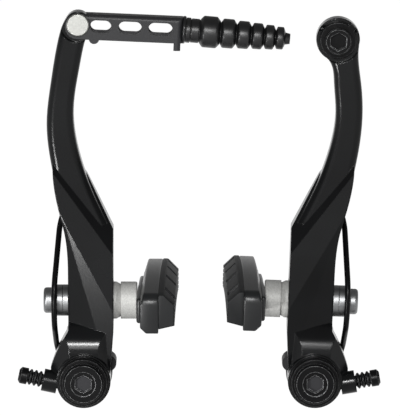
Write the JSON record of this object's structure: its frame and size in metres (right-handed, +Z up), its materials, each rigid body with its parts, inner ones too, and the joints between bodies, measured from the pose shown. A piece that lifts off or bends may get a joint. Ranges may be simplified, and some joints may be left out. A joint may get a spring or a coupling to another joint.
{
  "type": "v brake",
  "caption": "Pair of black rim-brake arms on pivot bushings with brake shoes, return springs, a folded cable link with a rubber boot and a cable anchor.",
  "frame": {"origin": "midway between the two pivot axes, in the plane of the shoe studs", "axes": "+X from the left arm to the right arm, +Y to the bicycle frame, +Z up along the arms"},
  "size_m": [0.1133, 0.071, 0.1238],
  "materials": {
    "arm_black": "satin black",
    "bolt_black": "black oxide",
    "bushing_steel": "plated",
    "holder_plastic": "matt",
    "spring_wire": "black gloss",
    "screw_black": "black",
    "spacer_alloy": "shot blasted",
    "washer_steel": "bright",
    "pad_rubber": "moulded",
    "link_steel": "dark grey",
    "pin_steel": "plain",
    "boot_rubber": "satin"
  },
  "bodies": {
    "mounting": {"left_pivot_bushing": "bushing_steel", "left_front_ring": "bolt_black", "left_fixing_bolt": "bolt_black", "left_spring_holder": "holder_plastic", "right_pivot_bushing": "bushing_steel", "right_front_ring": "bolt_black", "right_fixing_bolt": "bolt_black", "right_spring_holder": "holder_plastic"},
    "left_arm": {"left_arm": "arm_black", "left_return_spring": "spring_wire", "link_pin": "pin_steel"},
    "right_arm": {"right_arm": "arm_black", "right_return_spring": "spring_wire", "anchor_washer": "bolt_black", "anchor_bolt": "bolt_black"},
    "link": {"cable_link": "link_steel", "boot": "boot_rubber"},
    "left_tension_screw": {"left_tension_screw": "screw_black"},
    "left_shoe_seat": {"left_inner_convex_washer": "spacer_alloy", "left_outer_convex_washer": "washer_steel"},
    "left_shoe_spacers": {"left_inner_spacer": "spacer_alloy", "left_outer_spacer": "washer_steel"},
    "left_shoe": {"left_pad": "pad_rubber", "left_pad_stud": "bushing_steel", "left_flat_washer": "washer_steel", "left_shoe_nut": "washer_steel"},
    "right_tension_screw": {"right_tension_screw": "screw_black"},
    "right_shoe_seat": {"right_inner_convex_washer": "spacer_alloy", "right_outer_convex_washer": "washer_steel"},
    "right_shoe_spacers": {"right_inner_spacer": "spacer_alloy", "right_outer_spacer": "washer_steel"},
    "right_shoe": {"right_pad": "pad_rubber", "right_pad_stud": "bushing_steel", "right_flat_washer": "washer_steel", "right_shoe_nut": "washer_steel"}
  },
  "joints": [
    {"name": "left_arm_pivot", "type": "hinge", "parent": "mounting", "child": "left_arm", "pos_m": [-0.036, 0, 0], "axis": [0, 1, 0], "range_deg": [-25, 4], "stiffness_Nm_per_rad": 1.2, "deforming": ["left_return_spring", "boot"]},
    {"name": "right_arm_pivot", "type": "hinge", "parent": "mounting", "child": "right_arm", "pos_m": [0.036, 0, 0], "axis": [0, 1, 0], "range_deg": [-4, 25], "stiffness_Nm_per_rad": 1.2, "deforming": ["right_return_spring"]},
    {"name": "link_pivot", "type": "hinge", "parent": "left_arm", "child": "link", "pos_m": [-0.03746, 0, 0.1111], "axis": [0, 1, 0], "range_deg": [-75, 3]},
    {"name": "left_tension_screw_turn", "type": "hinge", "parent": "left_arm", "child": "left_tension_screw", "pos_m": [-0.0442, -0.0038, -0.00155], "axis": [-0.9781, 0, 0.2079], "range_deg": [-360, 360]},
    {"name": "left_shoe_height", "type": "slide", "parent": "left_arm", "child": "left_shoe_seat", "axis": [0, 0, 1], "range_m": [-0.003, 0.003]},
    {"name": "left_shoe_toe", "type": "hinge", "parent": "left_shoe_seat", "child": "left_shoe_spacers", "pos_m": [-0.03375, 0, 0.02395], "axis": [0, 0, 1], "range_deg": [-4, 4]},
    {"name": "left_shoe_turn", "type": "hinge", "parent": "left_shoe_spacers", "child": "left_shoe", "pos_m": [-0.03375, 0, 0.02395], "axis": [1, 0, 0], "range_deg": [-12, 12]},
    {"name": "right_tension_screw_turn", "type": "hinge", "parent": "right_arm", "child": "right_tension_screw", "pos_m": [0.04413, -0.0038, -0.00188], "axis": [0.9857, 0, 0.1685], "range_deg": [-360, 360]},
    {"name": "right_shoe_height", "type": "slide", "parent": "right_arm", "child": "right_shoe_seat", "axis": [0.0401, 0, 0.9992], "range_m": [-0.003, 0.003]},
    {"name": "right_shoe_toe", "type": "hinge", "parent": "right_shoe_seat", "child": "right_shoe_spacers", "pos_m": [0.03471, 0, 0.02402], "axis": [0.0401, 0, 0.9992], "range_deg": [-4, 4]},
    {"name": "right_shoe_turn", "type": "hinge", "parent": "right_shoe_spacers", "child": "right_shoe", "pos_m": [0.03471, 0, 0.02402], "axis": [-0.9992, 0, 0.0401], "range_deg": [-12, 12]}
  ]
}
